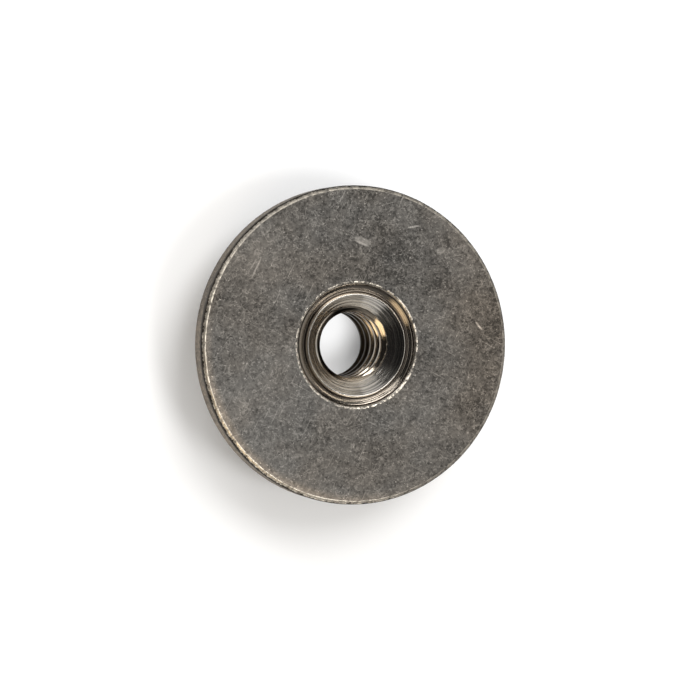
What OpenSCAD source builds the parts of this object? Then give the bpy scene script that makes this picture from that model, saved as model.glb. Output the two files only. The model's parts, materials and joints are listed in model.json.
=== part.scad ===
// Round flange nut: a flat disc flange on a plain round hub, turned in one piece,
// with a threaded bore through both. In the flange face the bore opens through a
// coned lead-in, a narrow lip and a shallow groove round the lip.
// The nut stands on the end of its hub with the flange face up. The origin is on
// the axis, at the end of the hub. The bore's wall is at the crests of the thread.

/* [Flange] */
// Diameter of the flange
flange_d = 25.4; // [18:0.1:40]
// Thickness of the flange
flange_t = 2.5; // [1.5:0.1:6]
// Rounding of the flange's two rim edges
flange_edge_r = 0.35; // [0.05:0.05:0.6]

/* [Hub] */
// Diameter of the hub
hub_d = 11; // [9:0.1:16]
// Length of the hub below the flange
hub_l = 5.2; // [2:0.1:20]
// Chamfer round the end of the hub
hub_chamfer = 0.3; // [0.05:0.05:0.6]

/* [Bore] */
// Diameter of the bore
bore_d = 5.3; // [4:0.05:6]
// Included angle of the lead-in cones at both ends of the bore
lead_in_angle = 90; // [70:1:120]
// Width of the lead-in cone at the end of the hub
exit_lead_in = 0.3; // [0.1:0.05:0.8]

/* [Mouth] */
// Diameter of the lip round the lead-in cone in the flange face
lip_d = 8.1; // [7:0.05:9.5]
// Drop from the flange face to the lip's crest, before it is rounded
lip_drop = 0.1; // [0.02:0.01:0.25]
// Rounding of the lip's crest
lip_crest_r = 0.08; // [0.02:0.01:0.15]
// Depth of the groove below the flange face
groove_depth = 0.5; // [0.35:0.01:0.9]
// Width of the groove's wall on the lip's side
groove_inner_w = 0.24; // [0.1:0.01:0.5]
// Width of the groove's sloping floor
groove_floor_w = 0.49; // [0.2:0.01:1]
// Width of the groove's wall on the flange's side
groove_outer_w = 0.16; // [0.05:0.01:0.4]
// Depth of the groove's wall on the flange's side
groove_outer_h = 0.25; // [0.1:0.01:0.3]
// Rounding of the groove's root
groove_root_r = 0.08; // [0.02:0.01:0.15]
// Rounding between the groove's floor and its outer wall
groove_fillet_r = 0.1; // [0.02:0.01:0.2]
// Rounding of the edge between the groove and the flange face
groove_edge_r = 0.27; // [0.05:0.01:0.4]

/* [Hidden] */
$fn = 128;
// Straight steps in each rounded edge of the section
edge_steps = 6;

flange_r = flange_d / 2;
hub_r = hub_d / 2;
bore_r = bore_d / 2;
exit_r = bore_r + exit_lead_in;
lip_r = lip_d / 2;
groove_r = lip_r + groove_inner_w;
groove_wall_r = groove_r + groove_floor_w;
mouth_r = groove_wall_r + groove_outer_w;

nut_h = hub_l + flange_t;
lip_z = nut_h - lip_drop;
groove_z = nut_h - groove_depth;
groove_wall_z = nut_h - groove_outer_h;
mouth_cone_h = (lip_r - bore_r) / tan(lead_in_angle / 2);
exit_cone_h = exit_lead_in / tan(lead_in_angle / 2);

// Half section of the nut, each corner as [radius, height, rounding]
section = [
    [exit_r, 0, 0],
    [hub_r - hub_chamfer, 0, 0],
    [hub_r, hub_chamfer, 0],
    [hub_r, hub_l, 0],
    [flange_r, hub_l, flange_edge_r],
    [flange_r, nut_h, flange_edge_r],
    [mouth_r, nut_h, groove_edge_r],
    [groove_wall_r, groove_wall_z, groove_fillet_r],
    [groove_r, groove_z, groove_root_r],
    [lip_r, lip_z, lip_crest_r],
    [bore_r, lip_z - mouth_cone_h, 0],
    [bore_r, exit_cone_h, 0],
];

// The direction of a vector, as a vector of length 1
function unit(v) = v / norm(v);

// The radius and height of corner i of an outline, counted round its ends
function corner_at(outline, i) =
    let (c = outline[(i + len(outline)) % len(outline)])
    [c[0], c[1]];

// The arc that rounds a corner, limited to half of the shorter wall beside it
function rounded_corner(before, corner, after, r) =
    let (
        to_before = unit(before - corner),
        to_after = unit(after - corner),
        half_angle = acos(to_before * to_after) / 2,
        reach = min(r / tan(half_angle), norm(before - corner) / 2, norm(after - corner) / 2),
        arc_r = reach * tan(half_angle),
        centre = corner + unit(to_before + to_after) * arc_r / sin(half_angle),
        from_centre = corner + to_before * reach - centre,
        start = atan2(from_centre[1], from_centre[0]),
        turn = sign(cross(to_after, to_before)) * (180 - 2 * half_angle)
    )
    [for (k = [0 : edge_steps])
        let (a = start + turn * k / edge_steps)
        centre + arc_r * [cos(a), sin(a)]];

// An outline's points, with every corner that has a rounding drawn as its arc
function rounded_outline(outline) = [
    for (i = [0 : len(outline) - 1])
        let (
            corner = corner_at(outline, i),
            r = outline[i][2],
            arc = r > 0
                ? rounded_corner(corner_at(outline, i - 1), corner, corner_at(outline, i + 1), r)
                : [corner]
        )
        each arc
];

// The whole nut, its half section turned about the axis
module nut() {
    color([0.41, 0.39, 0.37])
        rotate_extrude()
            polygon(rounded_outline(section));
}

nut();
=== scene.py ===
import json
import math

import bpy
import numpy as np
from mathutils import Matrix, Vector


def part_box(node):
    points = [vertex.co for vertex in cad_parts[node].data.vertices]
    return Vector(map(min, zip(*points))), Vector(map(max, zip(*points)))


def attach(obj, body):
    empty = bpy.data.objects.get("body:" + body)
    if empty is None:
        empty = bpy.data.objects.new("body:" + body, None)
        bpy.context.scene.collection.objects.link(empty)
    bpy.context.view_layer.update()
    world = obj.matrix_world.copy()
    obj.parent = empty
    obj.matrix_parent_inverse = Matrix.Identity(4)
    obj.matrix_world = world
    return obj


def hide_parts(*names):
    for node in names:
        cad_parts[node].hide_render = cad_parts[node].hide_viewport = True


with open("model.json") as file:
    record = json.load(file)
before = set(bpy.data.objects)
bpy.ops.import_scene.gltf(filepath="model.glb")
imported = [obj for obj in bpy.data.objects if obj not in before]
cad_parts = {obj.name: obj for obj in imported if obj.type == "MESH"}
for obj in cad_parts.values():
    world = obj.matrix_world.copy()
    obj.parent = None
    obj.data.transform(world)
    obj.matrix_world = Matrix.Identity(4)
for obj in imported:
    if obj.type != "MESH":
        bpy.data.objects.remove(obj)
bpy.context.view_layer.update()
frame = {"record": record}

mm = 0.001


def mount(name):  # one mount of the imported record
    return next(m for m in frame["record"]["mounts"] if m["name"] == name)


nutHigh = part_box("nut")[1]
flangeR = nutHigh.x
faceZ = nutHigh.z
seatZ = mount("flange_seat")["pos_m"][2]
hubR = mount("hub")["dims"]["r_mm"] * mm
boreR = mount("thread")["dims"]["r_mm"] * mm
print("frame: flange", round(flangeR / mm, 2), "mm radius, face at", round(faceZ / mm, 2), "mm")

# the turned nut: half section and thread
nutForm = {
    "columns": 360,           # round the axis
    "faceRows": 48,
    "coneRows": 40,
    "boreRows": 84,
    "rimEdge": 0.35 * mm,     # rounding of the flange's two edges
    "hubChamfer": 0.3 * mm,
    "brokenEdge": 0.03 * mm,  # rounding of corners left by the tool
    "exitR": 2.95 * mm,       # lead-in at the hub's end
    "leadIn": 90,             # included angle of the cones at both ends, degrees
    "lipR": 4.05 * mm,
    "lipDrop": 0.1 * mm,
    "lipCrest": 0.05 * mm,
    "grooveInner": 0.24 * mm,
    "grooveFloor": 0.49 * mm,
    "grooveOuter": 0.16 * mm,
    "grooveOuterDepth": 0.25 * mm,
    "grooveDepth": 0.5 * mm,
    "grooveRoot": 0.08 * mm,
    "grooveFillet": 0.1 * mm,
    "grooveEdge": 0.27 * mm,
    "ringPitch": 0.27 * mm,   # tool rings down the cone
    "ringDepth": 0.002 * mm,
    "pitch": 1.27 * mm,
    "majorR": 3.175 * mm,
    "crestFlat": 0.3,         # share of the pitch
    "crestDepth": 0.98 * mm,  # first crest on the +X side, below the face
    "threadRound": 0.03 * mm,
}
grooveR = nutForm["lipR"] + nutForm["grooveInner"]
grooveWallR = grooveR + nutForm["grooveFloor"]
mouthR = grooveWallR + nutForm["grooveOuter"]
lipZ = faceZ - nutForm["lipDrop"]
coneSlope = 1 / math.tan(math.radians(nutForm["leadIn"] / 2))  # fall per radius
coneEndZ = lipZ - (nutForm["lipR"] - boreR) * coneSlope


def arcRows(before, corner, after, radius, steps):
    # arc tangent to both walls of a corner: its centre is on the bisector, radius / sin(half angle) out
    a = (before - corner) / np.linalg.norm(before - corner)
    b = (after - corner) / np.linalg.norm(after - corner)
    half = math.acos(np.clip(a @ b, -1, 1)) / 2
    centre = corner + (a + b) / np.linalg.norm(a + b) * radius / math.sin(half)
    start = corner + a * radius / math.tan(half) - centre
    turn = math.copysign(math.pi - 2 * half, b[0] * a[1] - b[1] * a[0]) * np.linspace(0, 1, steps + 1)
    c, s = np.cos(turn), np.sin(turn)
    return centre + np.stack([start[0] * c - start[1] * s, start[0] * s + start[1] * c], 1)


def wallRows(start, end, rows):
    # points between two arcs, closer together near both ends as half a cosine wave
    t = (0.5 - 0.5 * np.cos(np.pi * np.linspace(0, 1, rows + 2)))[1:-1, None]
    return start + (end - start) * t


def sectionRows(f):
    # half section from the hub's end round the flange to the lip: each corner's arc, joined by walls
    tool = f["brokenEdge"]
    corners = [  # radius, height, rounding, arc steps, wall rows before it
        (f["exitR"], 0, 0, 0, 0),
        (hubR - f["hubChamfer"], 0, tool, 3, 4),
        (hubR, f["hubChamfer"], tool, 3, 2),
        (hubR, seatZ, tool, 3, 6),
        (flangeR, seatZ, f["rimEdge"], 6, 10),
        (flangeR, faceZ, f["rimEdge"], 10, 8),
        (mouthR, faceZ, f["grooveEdge"], 8, f["faceRows"]),
        (grooveWallR, faceZ - f["grooveOuterDepth"], f["grooveFillet"], 3, 2),
        (grooveR, faceZ - f["grooveDepth"], f["grooveRoot"], 5, 6),
        (f["lipR"], lipZ, f["lipCrest"], 6, 3),
        (boreR, coneEndZ, 0, 0, 0),  # only gives the cone's direction
    ]
    points = np.array([c[:2] for c in corners], float)
    rows = [points[:1]]
    for i in range(1, len(corners) - 1):
        rounding, arcSteps, wallCount = corners[i][2:]
        arc = arcRows(points[i - 1], points[i], points[i + 1], rounding, arcSteps)
        rows += [wallRows(rows[-1][-1], arc[0], wallCount), arc]
    return np.concatenate(rows)


def threadRadius(angle, z, f):
    # radius of a 60 degree right-hand thread: flat crest, flanks rising at tan 60, flat root, corners eased
    turn = (z - (faceZ - f["crestDepth"])) / f["pitch"] - angle / (2 * np.pi)
    away = np.abs((turn + 0.5) % 1 - 0.5) - f["crestFlat"] / 2  # pitches past the crest's edge
    rise = away * f["pitch"] * math.sqrt(3)
    full = f["majorR"] - boreR
    ease = f["threadRound"]
    rise = 0.5 * (rise + np.sqrt(rise ** 2 + ease ** 2))
    rise = full - 0.5 * (full - rise + np.sqrt((full - rise) ** 2 + ease ** 2))
    return boreR + rise


def turnedNut(f):
    # closed grid: rows follow the section, columns go round the axis; in the bore the radius is the
    # widest of the thread, the mouth's cone with its tool rings, and the exit's cone at each height
    angle = np.arange(f["columns"]) * 2 * np.pi / f["columns"]
    outer = sectionRows(f)
    lastR, lastZ = outer[-1]
    z = np.concatenate([
        np.linspace(lastZ, coneEndZ, f["coneRows"] + 1)[1:],
        np.linspace(coneEndZ, 0, f["boreRows"] + 2)[1:-1],
    ])[:, None]
    mouthCone = lastR - (lastZ - z) / coneSlope
    fade = np.clip((lastZ - z) / f["ringPitch"], 0, 1)
    mouthCone = mouthCone + fade * f["ringDepth"] * np.sin(2 * np.pi * (lastR - mouthCone) / f["ringPitch"])
    exitCone = f["exitR"] - z / coneSlope
    bore = np.maximum(np.maximum(threadRadius(angle, z, f), mouthCone), exitCone)
    radius = np.concatenate([np.repeat(outer[:, :1], f["columns"], 1), bore])
    height = np.concatenate([np.repeat(outer[:, 1:], f["columns"], 1), np.repeat(z, f["columns"], 1)])
    return angle, radius, height


# wear in the metal itself: nicks along the edges, dents in the face
nutWear = {
    "seed": 11,
    "rimNicks": 170,
    "rimNickDepth": 0.06 * mm,
    "rimNickTurn": 0.012,     # half width, radians
    "rimInset": 0.3,          # the rim's nicks start this share of its rounding inside its corner
    "mouthNicks": 90,
    "mouthNickDepth": 0.03 * mm,
    "mouthNickTurn": 0.02,
    "widths": (0.5, 1.8),     # narrowest and widest nick, times its half width
    "reach": 0.16 * mm,       # how far a nick spreads from its edge
    "dents": [  # x, y, half length, half width, turn in degrees, depth, all but the turn in mm
        (0.45, 8.3, 0.75, 0.32, -24, 0.035),
        (10.3, 1.5, 0.35, 0.14, -52, 0.02),
        (7.0, 7.55, 0.5, 0.3, 20, 0.012),
        (4.7, 9.45, 0.5, 0.1, 10, 0.012),
        (-8.3, 6.1, 1.0, 0.09, 64, 0.008),
        (5.6, -8.0, 0.6, 0.35, 30, 0.01),
    ],
    "dentEdge": 1.5,          # above 1, a dent has a flatter floor and a steeper wall
    "faceDepth": 0.01 * mm,   # what lies less than this below the face takes the dents
}


def onEllipse(x, y, centreX, centreY, longHalf, wideHalf, turn):
    # squared distance from an ellipse's centre, along and across it, 1 on the ellipse; x and y in mm
    c, s = math.cos(math.radians(turn)), math.sin(math.radians(turn))
    u = ((x - centreX) * c + (y - centreY) * s) / longHalf
    v = ((y - centreY) * c - (x - centreX) * s) / wideHalf
    return u * u + v * v


def edgeNicks(angle, count, depth, turn, widths, random):
    # depth round an edge: bell curves of the angle from random places, the deepest at each angle
    place = random.uniform(0, 2 * np.pi, (count, 1))
    spread = turn * random.uniform(*widths, (count, 1))
    deep = depth * random.random((count, 1)) ** 2
    away = (angle - place + np.pi) % (2 * np.pi) - np.pi
    return (deep * np.exp(-(away / spread) ** 2)).max(0)


def wornNut(angle, radius, height, f, w):
    # nicks move an edge back along its diagonal, fading as a bell curve from it; dents lower the face
    random = np.random.default_rng(w["seed"])
    rim = edgeNicks(angle, w["rimNicks"], w["rimNickDepth"], w["rimNickTurn"], w["widths"], random)
    mouth = edgeNicks(angle, w["mouthNicks"], w["mouthNickDepth"], w["mouthNickTurn"], w["widths"], random)
    inset = w["rimInset"] * f["rimEdge"]
    fromRim = np.hypot(radius - (flangeR - inset), height - (faceZ - inset))
    fromMouth = np.hypot(radius - mouthR, height - faceZ)
    rim = rim * np.exp(-(fromRim / w["reach"]) ** 2) * math.sqrt(0.5)
    mouth = mouth * np.exp(-(fromMouth / w["reach"]) ** 2) * math.sqrt(0.5)
    x, y = radius * np.cos(angle) / mm, radius * np.sin(angle) / mm
    dent = np.zeros_like(radius)
    for *ellipse, depth in w["dents"]:
        dent += depth * mm * np.exp(-onEllipse(x, y, *ellipse) ** w["dentEdge"])
    onFace = height > faceZ - w["faceDepth"]
    return radius - rim + mouth, height - rim - mouth - dent * onFace


def gridMesh(name, points):
    # quads of a grid closed both ways, each corner index from its row and column, faces outward
    rows, columns = points.shape[:2]
    i = np.arange(rows)[:, None]
    j = np.arange(columns)[None, :]
    i2, j2 = (i + 1) % rows, (j + 1) % columns
    quads = np.stack([i * columns + j, i * columns + j2, i2 * columns + j2, i2 * columns + j], -1)
    mesh = bpy.data.meshes.new(name)
    mesh.from_pydata(points.reshape(-1, 3), [], quads.reshape(-1, 4))
    mesh.shade_smooth()
    mesh.update()
    piece = bpy.data.objects.new(name, mesh)
    bpy.context.scene.collection.objects.link(piece)
    return piece


angle, radius, height = turnedNut(nutForm)
radius, height = wornNut(angle, radius, height, nutForm, nutWear)
points = np.stack([radius * np.cos(angle), radius * np.sin(angle), height], -1)
nut = gridMesh("flange_nut", points)
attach(nut, "root")
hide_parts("nut")
print("nut:", radius.shape[0], "rows,", len(nut.data.polygons) * 2, "triangles")


class Wire:
    # a node's output socket: + - * / on it, or with a number on either side, add Math nodes
    def __init__(self, tree, socket=None):
        self.tree, self.socket = tree, socket

    def node(self, kind, settings, values, output=0):
        # any node: its settings first, then a number, colour or link for each of its sockets
        made = self.tree.nodes.new(kind)
        for name, value in settings.items():
            setattr(made, name, value)
        for name, value in values.items():
            if isinstance(value, Wire):
                self.tree.links.new(value.socket, made.inputs[name])
            else:
                made.inputs[name].default_value = value
        return Wire(self.tree, made.outputs[output])

    def outputs(self, *names):  # other outputs of the same node
        return [Wire(self.tree, self.socket.node.outputs[name]) for name in names]

    def math(self, operation, first, second=0.0):  # one Math node
        return self.node("ShaderNodeMath", {"operation": operation}, {0: first, 1: second})

    def __add__(self, other):
        return self.math("ADD", self, other)

    def __sub__(self, other):
        return self.math("SUBTRACT", self, other)

    def __mul__(self, other):
        return self.math("MULTIPLY", self, other)

    def __truediv__(self, other):
        return self.math("DIVIDE", self, other)

    def __radd__(self, other):
        return self.math("ADD", other, self)

    def __rsub__(self, other):
        return self.math("SUBTRACT", other, self)

    def __rmul__(self, other):
        return self.math("MULTIPLY", other, self)

    def __rtruediv__(self, other):
        return self.math("DIVIDE", other, self)

    def __abs__(self):
        return self.math("ABSOLUTE", self)

    def most(self, other):  # the larger of two values
        return self.math("MAXIMUM", self, other)

    def step(self, low, high):  # 0 below low, 1 above high, smooth between
        values = {"Value": self, "From Min": low, "From Max": high}
        return self.node("ShaderNodeMapRange", {"interpolation_type": "SMOOTHSTEP"}, values)

    def band(self, start, rise, fall):  # a step up over rise and down over fall, both past start
        up = self.step(start + rise[0], start + rise[1])
        return up * (1 - self.step(start + fall[0], start + fall[1]))

    def noise(self, scale, detail, roughness):  # fractal noise of a position, about 0.5
        values = {"Vector": self, "Scale": scale, "Detail": detail, "Roughness": roughness}
        return self.node("ShaderNodeTexNoise", {}, values)

    def shifted(self, offset):  # a position moved by a vector
        return self.node("ShaderNodeVectorMath", {"operation": "ADD"}, {0: self, 1: offset})

    def scaled(self, factor):  # a colour or vector times a value
        return self.node("ShaderNodeVectorMath", {"operation": "SCALE"}, {0: self, "Scale": factor})

    def between(self, first, second):  # one colour blended into another by this value
        return self.node("ShaderNodeMix", {"data_type": "RGBA"}, {0: self, 6: first, 7: second}, 2)

    def mixed(self, other, share):  # this colour blended into another by a share
        return share.between(self, other)


# the nut's finish: tumbled face and rim, turned mouth and bore, edges rubbed to bare metal, with painted
# highlight and sheen on the -X, -Y side and painted shade in the mouth and bore
nutFinish = {
    "faceCool": (0.098, 0.0935, 0.0865, 1),
    "faceWarm": (0.108, 0.093, 0.077, 1),
    "sideColour": (0.118, 0.099, 0.078, 1),
    "turnedColour": (0.52, 0.49, 0.445, 1),
    "grooveColour": (0.28, 0.245, 0.205, 1),
    "boreColour": (0.50, 0.43, 0.345, 1),
    "edgeColour": (0.84, 0.76, 0.64, 1),
    # a dark colour: for a dark band below the rim's edge, to dull the lip, and painted shade in the
    # groove's root, at the thread's start and deep in the bore
    "darkBandAndShadeColour": (0.018, 0.014, 0.010, 1),
    "toneMiddle": 0.88,       # the face's tone, and how much each layer changes it
    "toneLeast": 0.35,
    "grain": 2.6,
    "stroke": 0.8,
    "mottle": 1.5,
    "cloud": 1.1,
    "fleck": 1.6,
    "fleckPolishSheen": 1.5,    # stronger by this share where polished and painted with sheen near the rim
    "scratch": 0.9,
    "lightGradient": 0.017,           # painted light: the face lighter by this much per mm towards the given direction
    "lightGradientTowards": (-0.5, -0.87),
    # partly real polish, partly painted sheen: the face lighter near the rim on the -X, -Y side
    "polishSheen": 0.8,
    "streak": 2.2,            # along the flange's side
    "streakLift": 0.05,
    "ringTone": 2.4,          # light and dark lines left by the tool
    "strokeSharp": 13,
    "strokeEdge": (0.0, 0.9),
    "warmPatches": 0.45,      # shares of the warm colour
    "warmRight": 0.45,
    "rimLeast": 0.3,          # wear of the rim away from its -X, -Y side, where the rubbed line is partly a painted highlight
    "rubbedLeast": 0.15,      # wear of the rim between its rubbed patches
    "rimJag": 0.3,            # mm
    "rimBandJag": 0.9,
    "rimDarkBand": 0.9,           # shares of the dark colour: a dark band below the rim; painted shade in the groove's root and deep in the bore; a duller lip
    "grooveRootShade": 0.85,
    "lipDull": 0.15,
    "deepShade": 0.92,
    "faceRough": 0.62,
    "roughGrain": 0.25,
    "roughMottle": 0.2,
    "turnedRough": 0.14,
    "edgeRough": 0.35,
    "deepRough": 0.2,
    "grainHeight": 0.003,     # mm
    "ringHeight": 0.024,      # in the groove
    "coneRingHeight": 0.007,
    "zones": {  # each mask rises from 0 to 1 between two lengths in mm, and falls again where it has four
        "upper": (-1.7, -1.5),        # heights past the face: the flange and mouth, not the hub's end
        "rimTop": (-0.17, -0.09),
        "rimDarkBand": (-0.75, -0.45),
        "threadTop": (-1.5, -1.1),
        "startTop": (-1.8, -1.6),
        "markTop": (-0.2, -0.1),
        "deepTop": (2, 4.4),          # height past the hub's end
        "rimEdge": (-0.36, -0.27),    # radii past the rim
        "rimWall": (-0.3, -0.15),
        "side": (-0.06, -0.01),
        "polishAndSheen": (-1.1, -0.3),
        "turned": (-0.1, 0.08),       # radii past the groove's edge
        "mouthEdge": ((-0.08, 0.02), (0.06, 0.2)),
        "groove": (0.06, 0.16),       # radii past the lip
        "lipBand": ((-0.12, -0.04), (0.04, 0.1)),
        "grooveRootShade": ((0.08, 0.18), (0.3, 0.45)),
        "bore": (0.04, 0.1),          # radius past the thread's root
        "threadStartShade": (0.27, 0.39),    # radius past the thread's crest
    },
    "sides": {  # a direction across the face, and where its mask rises from 0 to 1 that way, in mm
        "wornLit": ((-0.75, -0.65), (0, 10)),
        "left": ((-1, 0), (-6, -1)),
        "polishAndSheen": ((-0.7, -0.7), (2, 12)),
        "start": ((-0.9, 0.3), (-0.5, 0.8)),
        "warm": ((1, 0), (3, 12)),
    },
    "patterns": {  # noise: scale per mm, detail, roughness, a move so that no two match, a cut from 0 to 1
        "rubbed": (2.6, 3.0, 0.7, (0, 0, 0), (0.32, 0.58)),
        "jagged": (5.0, 2.0, 0.7, (5, 9, 0), None),
        "rimBandFoot": (1.6, 3.0, 0.7, (9, 5, 0), None),
        "dotted": (4.5, 2.0, 0.7, (20, 20, 0), (0.42, 0.62)),
        "rings": (10.0, 2.0, 0.6, (0, 0, 0), None),
        "streak": (2.4, 2.0, 0.6, (0, 0, 0), None),
        "grain": (4.6, 2.0, 0.7, (0, 0, 0), None),
        "bend": (3.4, 1.0, 0.5, (7, 3, 0), None),
        "strokePatch": (2.4, 1.0, 0.5, (3, 70, 0), (0.42, 0.6)),
        "mottle": (0.9, 3.0, 0.6, (40, 0, 0), None),
        "cloud": (0.17, 2.0, 0.5, (0, 40, 0), None),
        "fleck": (6.0, 1.0, 0.5, (0, 0, 40), (0.68, 0.76)),
        "warmth": (0.2, 2.0, 0.5, (80, 0, 0), (0.3, 0.7)),
    },
    "scratches": [  # turn in degrees, scale along and across per mm, level of the cut, a move
        (62, 0.35, 9, 0.71, (0, 0, 0)),
        (-28, 0.4, 10, 0.72, (9, 3, 0)),
        (12, 0.45, 9, 0.73, (3, 9, 0)),
    ],
    "scratchNoise": (1.0, 1.0, 0.5),  # scale, detail, roughness
    "scratchEdge": 0.05,
    "marks": [  # x, y, half length, half width in mm, turn in degrees, how much lighter
        (0.41, 8.29, 0.88, 0.34, -22, 1.0),
        (0.34, 8.08, 0.75, 0.11, -22, 1.0),
        (4.7, 9.46, 0.55, 0.1, 10, 1.5),
        (-8.3, 6.1, 1.1, 0.08, 64, 1.1),
        (-8.6, 6.3, 0.5, 0.07, 58, 0.9),
        (7.0, 7.56, 0.5, 0.32, 20, 0.7),
        (10.25, 1.6, 0.42, 0.1, -52, 1.7),
        (10.45, 1.38, 0.32, 0.09, -48, 1.4),
    ],
    "markFade": (0.3, 1),     # from a mark's middle, 0, to its outline, 1
}
noiseMiddle = 0.5


def atLeast(least, mask):  # a mask's 0 to 1 brought to least to 1
    return least + (1 - least) * mask


def towards(x, y, direction):  # distance from the axis along a direction across the face
    return direction[0] * x + direction[1] * y


def patterned(place, pattern):
    # noise at the moved position: a smooth step over its cut, or about 0 where it has none
    scale, detail, roughness, moved, cut = pattern
    noise = place.shifted(moved).noise(scale, detail, roughness)
    return noise.step(*cut) if cut else noise - noiseMiddle


def scratches(place, k):
    # streaks: noise stretched along each direction, cut off below its level, all added up
    total = 0.0
    for turn, along, across, level, moved in k["scratches"]:
        values = {
            "Vector": place.shifted(moved),
            "Rotation": (0, 0, math.radians(turn)),
            "Scale": (1 / along, 1 / across, 1),
        }
        stretched = place.node("ShaderNodeMapping", {"vector_type": "TEXTURE"}, values)
        streaks = stretched.noise(*k["scratchNoise"])
        total = streaks.step(level, level + k["scratchEdge"]) + total
    return total


def rubs(x, y, k):
    # light marks: each is 1 at its middle and falls smoothly to 0 on an ellipse, times its own strength
    total = 0.0
    for *ellipse, lighter in k["marks"]:
        total = lighter * (1 - onEllipse(x, y, *ellipse).step(*k["markFade"])) + total
    return total


def steelZones(place, x, y, z, r, k):
    # masks from 0 to 1: smooth steps of a height, a radius or a distance across the face, multiplied;
    # noise added to a height makes a mask's edge ragged
    def past(length, start, name):
        low, high = k["zones"][name]
        return length.step(start + low, start + high)

    def side(name):
        direction, (low, high) = k["sides"][name]
        return towards(x, y, direction).step(low, high)

    def pattern(name):
        return patterned(place, k["patterns"][name])

    rimR, topZ, mouth = flangeR / mm, faceZ / mm, mouthR / mm
    lip, root, crest = nutForm["lipR"] / mm, nutForm["majorR"] / mm, boreR / mm
    upper = past(z, topZ, "upper")
    inBore = 1 - past(r, root, "bore")
    turned = inBore.most((1 - past(r, mouth, "turned")) * upper)
    deep = (1 - past(z, 0, "deepTop")) * turned
    # edges rubbed to bare metal; on the rim weighted to the -X, -Y side, partly a painted highlight
    wornLitSide = side("wornLit") * side("left")
    rubbed = pattern("rubbed")
    rimTop = past(z + k["rimJag"] * pattern("jagged"), topZ, "rimTop")
    rimEdge = past(r, rimR, "rimEdge") * rimTop * atLeast(k["rimLeast"], wornLitSide)
    rimEdge = rimEdge * atLeast(k["rubbedLeast"], rubbed)
    mouthEdge = r.band(mouth, *k["zones"]["mouthEdge"]) * pattern("dotted") * upper
    # a dark band below the rim's edge; painted shade in the groove's root and where the thread begins, more
    # on the -X side; a duller lip
    rimDarkBand = k["rimDarkBand"] * past(z + k["rimBandJag"] * pattern("rimBandFoot"), topZ, "rimDarkBand")
    rimDarkBand = rimDarkBand * (1 - rimTop) * past(r, rimR, "rimWall")
    grooveRootShade = k["grooveRootShade"] * r.band(lip, *k["zones"]["grooveRootShade"]) * upper
    lipSoil = k["lipDull"] * r.band(lip, *k["zones"]["lipBand"]) * upper
    threadStartShade = (1 - past(r, crest, "threadStartShade")) * past(z, topZ, "startTop") * side("start")
    return {
        "turned": turned,
        "groove": past(r, lip, "groove") * turned,
        "threaded": (1 - past(z, topZ, "threadTop")) * turned,
        "deep": deep,
        "wornAndHighlight": rimEdge + mouthEdge,
        "rubbed": rubbed,
        "rimDarkBand": rimDarkBand,
        # painted shade in the groove's root, at the thread's start and deep in the bore, and the duller lip
        "mouthDullAndShade": grooveRootShade + threadStartShade + (lipSoil + k["deepShade"] * deep),
        # partly real polish near the rim, partly painted sheen on the -X, -Y side
        "polishAndSheen": past(r, rimR, "polishAndSheen") * side("polishAndSheen"),
        "side": past(r, rimR, "side"),
        "marked": past(z, topZ, "markTop"),
        "warmSide": side("warm"),
    }


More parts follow.
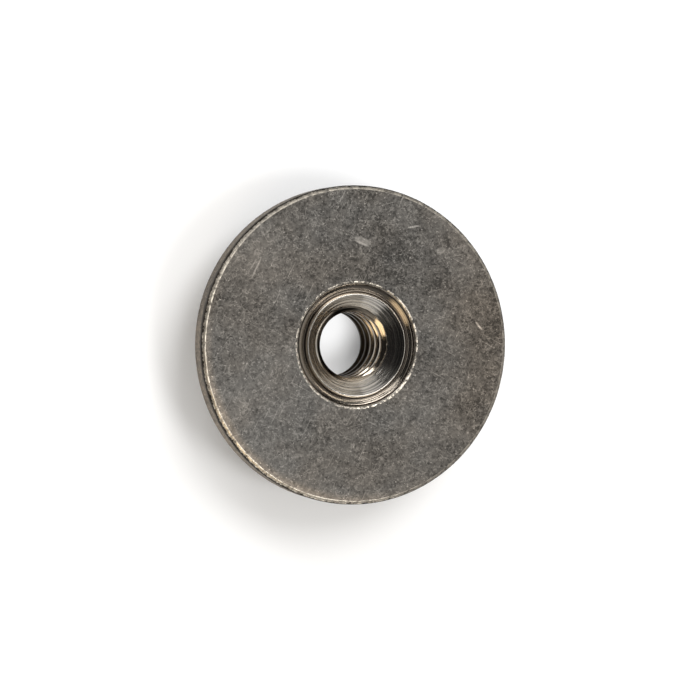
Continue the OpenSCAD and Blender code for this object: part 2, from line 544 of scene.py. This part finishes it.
def nutSteel(k):
    # colour, roughness and height go from the tumbled face to the rubbed edges, partly painted highlight,
    # and the turned mouth, partly painted shade, by the masks; the face's colour is a warm and a cool grey,
    # times a tone summed from layers of noise and painted light
    steel = bpy.data.materials.new("tumbledSteel")
    steel.use_nodes = True
    tree = steel.node_tree
    shader = tree.nodes["Principled BSDF"]
    place = Wire(tree).node("ShaderNodeTexCoord", {}, {}, "Object").scaled(1 / mm)  # in mm
    x, y, z = place.node("ShaderNodeSeparateXYZ", {}, {"Vector": place}).outputs("X", "Y", "Z")
    r = place.math("SQRT", x * x + y * y)
    zone = steelZones(place, x, y, z, r, k)
    turned, wornAndHighlight, polishAndSheen, side = zone["turned"], zone["wornAndHighlight"], zone["polishAndSheen"], zone["side"]

    # layers of noise, two of them on rings round the axis
    ringPlace = place.node("ShaderNodeCombineXYZ", {}, {"X": r, "Y": z, "Z": 0.0})
    rings = patterned(ringPlace, k["patterns"]["rings"])
    streak = patterned(ringPlace, k["patterns"]["streak"])
    layers = ("grain", "bend", "strokePatch", "mottle", "cloud", "fleck", "warmth")
    grain, bend, strokePatch, mottle, cloud, fleck, warmth = (
        patterned(place, k["patterns"][name]) for name in layers
    )
    stroke = (1 - abs(bend) * k["strokeSharp"]).step(*k["strokeEdge"]) * strokePatch  # thin curls
    lines = scratches(place, k)

    # the tumbled face and the flange's side
    tone = k["toneMiddle"] + k["grain"] * grain + k["mottle"] * mottle + k["cloud"] * cloud
    tone = tone + k["stroke"] * stroke + k["scratch"] * lines
    tone = tone + k["fleck"] * fleck * (1 + k["fleckPolishSheen"] * polishAndSheen)
    # painted light: the face lighter towards one side
    tone = tone + k["lightGradient"] * towards(x, y, k["lightGradientTowards"]) * (1 - side)
    # painted sheen, partly real polish, near the rim on the -X, -Y side
    tone = tone + k["polishSheen"] * polishAndSheen * zone["rubbed"]
    tone = tone + k["streak"] * side * (streak + k["streakLift"])
    tone = (tone + rubs(x, y, k) * zone["marked"]).most(k["toneLeast"])
    warmed = k["warmPatches"] * warmth + polishAndSheen + k["warmRight"] * zone["warmSide"]
    face = warmed.between(k["faceCool"], k["faceWarm"]).mixed(k["sideColour"], side).scaled(tone)

    # edges rubbed to bare metal, partly a painted highlight on the rim's -X, -Y side, then the turned mouth
    # and bore
    colour = face.mixed(k["darkBandAndShadeColour"], zone["rimDarkBand"]).mixed(k["edgeColour"], wornAndHighlight)
    colour = colour.mixed(k["turnedColour"], turned * (1 - wornAndHighlight)).mixed(k["boreColour"], zone["threaded"])
    colour = colour.mixed(k["grooveColour"], zone["groove"] * (1 - wornAndHighlight))
    # painted shade in the groove's root, at the thread's start and deep in the bore, and a duller lip
    colour = colour.mixed(k["darkBandAndShadeColour"], zone["mouthDullAndShade"])
    colour = colour.scaled(1 + k["ringTone"] * rings * turned * (1 - wornAndHighlight))
    rough = k["faceRough"] + k["roughGrain"] * grain + k["roughMottle"] * mottle
    rough = rough + (k["turnedRough"] - rough) * turned
    rough = rough + (k["edgeRough"] - rough) * wornAndHighlight + k["deepRough"] * zone["deep"]
    ringHeight = k["coneRingHeight"] + (k["ringHeight"] - k["coneRingHeight"]) * zone["groove"]
    heights = k["grainHeight"] * (grain - lines) * (1 - turned) + ringHeight * rings * turned
    bump = place.node("ShaderNodeBump", {}, {"Strength": 1.0, "Distance": mm, "Height": heights})
    for name, wire in (("Base Color", colour), ("Roughness", rough), ("Normal", bump)):
        tree.links.new(wire.socket, shader.inputs[name])
    shader.inputs["Metallic"].default_value = 1
    return steel


nut.data.materials.append(nutSteel(nutFinish))
print("finish:", len(nut.data.materials[0].node_tree.nodes), "nodes")

# floor: pale paper, lifted towards white where it is seen directly, mirrored or through glass, with a
# painted glow spot under the hole
floorLook = {
    "half": 1.5,              # metres
    "colour": 0.94,
    "lift": 0.18,             # share of plain white
    "paintedGlow": 0.75,           # painted light: added to it in a glowing spot under the hole
    "paintedGlowAt": (-0.3 * mm, 1.6 * mm, 0),
    "paintedGlowFade": (0.8 * mm, 3.6 * mm),
}


def paperWithGlowSpot(look):
    # matt paper mixed with plain white, for rays from the camera, a mirror or glass; the share of white
    # rises in a painted glow spot under the hole and falls off smoothly with the distance from it
    paper = bpy.data.materials.new("paperWithGlowSpot")
    paper.use_nodes = True
    tree = paper.node_tree
    shader = tree.nodes["Principled BSDF"]
    shader.inputs["Base Color"].default_value = (look["colour"],) * 3 + (1,)
    shader.inputs["Specular IOR Level"].default_value = 0
    shader.inputs["Roughness"].default_value = 1
    path = Wire(tree).node("ShaderNodeLightPath", {}, {})
    direct, mirrored, through = path.outputs("Is Camera Ray", "Is Glossy Ray", "Is Transmission Ray")
    place = path.node("ShaderNodeTexCoord", {}, {}, "Object")
    ends = {0: place, 1: look["paintedGlowAt"]}
    away = path.node("ShaderNodeVectorMath", {"operation": "DISTANCE"}, ends, "Value")
    lift = look["lift"] + look["paintedGlow"] * (1 - away.step(*look["paintedGlowFade"]))
    white = path.node("ShaderNodeEmission", {}, {"Color": (1, 1, 1, 1), "Strength": 1.0})
    shaders = {0: direct.most(mirrored).most(through) * lift, 1: Wire(tree, shader.outputs[0]), 2: white}
    lifted = path.node("ShaderNodeMixShader", {}, shaders)
    tree.links.new(lifted.socket, tree.nodes["Material Output"].inputs["Surface"])
    return paper


floorMesh = bpy.data.meshes.new("floor")
half = floorLook["half"]
floorCorners = [(-half, -half, 0), (half, -half, 0), (half, half, 0), (-half, half, 0)]
floorMesh.from_pydata(floorCorners, [], [(0, 1, 2, 3)])
floorMesh.materials.append(paperWithGlowSpot(floorLook))
floor = bpy.data.objects.new("floor", floorMesh)
bpy.context.scene.collection.objects.link(floor)
print("floor:", 2 * half, "m wide")

# world: pale round the horizon, dim above it, brighter towards both Y sides, +X and overhead
worldLook = {
    "horizon": 0.8,
    "horizonTop": (0.08, 0.16),           # heights of a direction of length 1, here and below
    "raised": 0.1,                        # how much higher the pale band stands towards Y
    "shaded": 0.65,                       # share that a strip beside it is darker by
    "stripAt": (0.11, 0.2),
    "towardsY": (0.85, 0.95),
    "dim": 0.016,
    "overhead": 1.8,
    "overheadAt": (0.9, 0.97),
    "sides": 0.22,
    "sidesAt": (0.5, 0.8),
    "sidesAbove": (0.25, 0.45),
    "right": 0.6,
    "rightAt": (0.7, 0.85),
    "rightBand": ((0.08, 0.14), (0.45, 0.6)),
}


def studioWorld(look):
    # white light whose level is a sum of smooth steps of the direction's height, its X and its size along Y
    world = bpy.data.worlds.new("studio")
    world.use_nodes = True
    tree = world.node_tree
    direction = Wire(tree).node("ShaderNodeTexCoord", {}, {}, "Generated")
    split = direction.node("ShaderNodeSeparateXYZ", {}, {"Vector": direction})
    right, along, up = split.outputs("X", "Y", "Z")
    aside = abs(along)
    nearY = aside.step(*look["towardsY"])
    pale = 1 - (up - look["raised"] * nearY).step(*look["horizonTop"])
    strip = 1 - look["shaded"] * right.step(*look["stripAt"]) * nearY
    level = look["dim"] + look["overhead"] * up.step(*look["overheadAt"])
    level = level + look["sides"] * aside.step(*look["sidesAt"]) * up.step(*look["sidesAbove"])
    level = level + (look["horizon"] - look["dim"]) * pale * strip
    level = level + look["right"] * right.step(*look["rightAt"]) * up.band(0, *look["rightBand"])
    background = tree.nodes["Background"]
    background.inputs["Color"].default_value = (1, 1, 1, 1)
    tree.links.new(level.socket, background.inputs["Strength"])
    return world


bpy.context.scene.world = studioWorld(worldLook)
print("world:", len(bpy.context.scene.world.node_tree.nodes), "nodes")

# soft lamps: zenith and azimuth in degrees, the level each adds to a white floor, and its spread,
# the lamp's radius over its distance
lamps = {
    "upperLamp": {"zenith": 28, "azimuth": 70, "level": 0.52, "spread": 0.25, "colour": (1, 1, 1)},
    "lowerLamp": {"zenith": 22, "azimuth": -33, "level": 0.27, "spread": 0.14, "colour": (1, 1, 1)},
    "leftLamp": {"zenith": 56, "azimuth": 118, "level": 0.12, "spread": 0.2, "colour": (1, 1, 1)},
    "warmLamp": {"zenith": 46, "azimuth": 231, "level": 0.10, "spread": 0.25, "colour": (1, 0.82, 0.56)},
}
lampAway = 0.6  # metres


def softLamp(name, lamp):
    # a disc that faces the origin: its power is level * pi squared * distance squared / cos(zenith)
    azimuth, zenith = math.radians(lamp["azimuth"]), math.radians(lamp["zenith"])
    across = math.sin(zenith)
    toLamp = Vector((across * math.cos(azimuth), across * math.sin(azimuth), math.cos(zenith)))
    light = bpy.data.lights.new(name, "AREA")
    light.shape = "DISK"
    light.color = lamp["colour"]
    light.size = 2 * lamp["spread"] * lampAway
    light.energy = lamp["level"] * math.pi ** 2 * lampAway ** 2 / math.cos(zenith)
    holder = bpy.data.objects.new(name, light)
    holder.location = toLamp * lampAway
    holder.rotation_euler = toLamp.to_track_quat("Z", "Y").to_euler()
    holder.visible_camera = False
    bpy.context.scene.collection.objects.link(holder)


for name, lamp in lamps.items():
    softLamp(name, lamp)
print("light:", len(lamps), "lamps")

# camera: where the face's centre falls in the frame, and how the axis leans there
view = {
    "frame": 700,             # pixels
    "faceAt": (357.3, 345.2),
    "pixelsPerMetre": 12595,
    "away": 0.183,            # metres
    "lean": 17.8,             # degrees
    "leanTurn": -4,
    "sensor": 36,             # mm
    "nearest": 0.01,          # metres
}


def photoCamera(v):
    # the turn that stands the leaning axis upright turns the camera too; its place is then the face's
    # centre less that centre's own place in the view
    lean, leanTurn = math.radians(v["lean"]), math.radians(v["leanTurn"])
    across = math.sin(lean)
    axisSeen = Vector((across * math.cos(leanTurn), across * math.sin(leanTurn), math.cos(lean)))
    toWorld = axisSeen.rotation_difference(Vector((0, 0, 1))).to_matrix()
    middle = v["frame"] / 2
    right = (v["faceAt"][0] - middle) / v["pixelsPerMetre"]
    up = (middle - v["faceAt"][1]) / v["pixelsPerMetre"]
    faceSeen = Vector((right, up, -v["away"]))
    data = bpy.data.cameras.new("camera")
    data.sensor_width = v["sensor"]
    data.lens = v["away"] * v["pixelsPerMetre"] / v["frame"] * v["sensor"]
    data.clip_start = v["nearest"]
    holder = bpy.data.objects.new("camera", data)
    holder.matrix_world = Matrix.Translation(Vector((0, 0, faceZ)) - toWorld @ faceSeen) @ toWorld.to_4x4()
    bpy.context.scene.collection.objects.link(holder)
    return holder


camera = photoCamera(view)
bpy.context.scene.camera = camera
bpy.context.scene.view_settings.view_transform = "Standard"
print("camera:", round(camera.data.lens, 1), "mm lens")
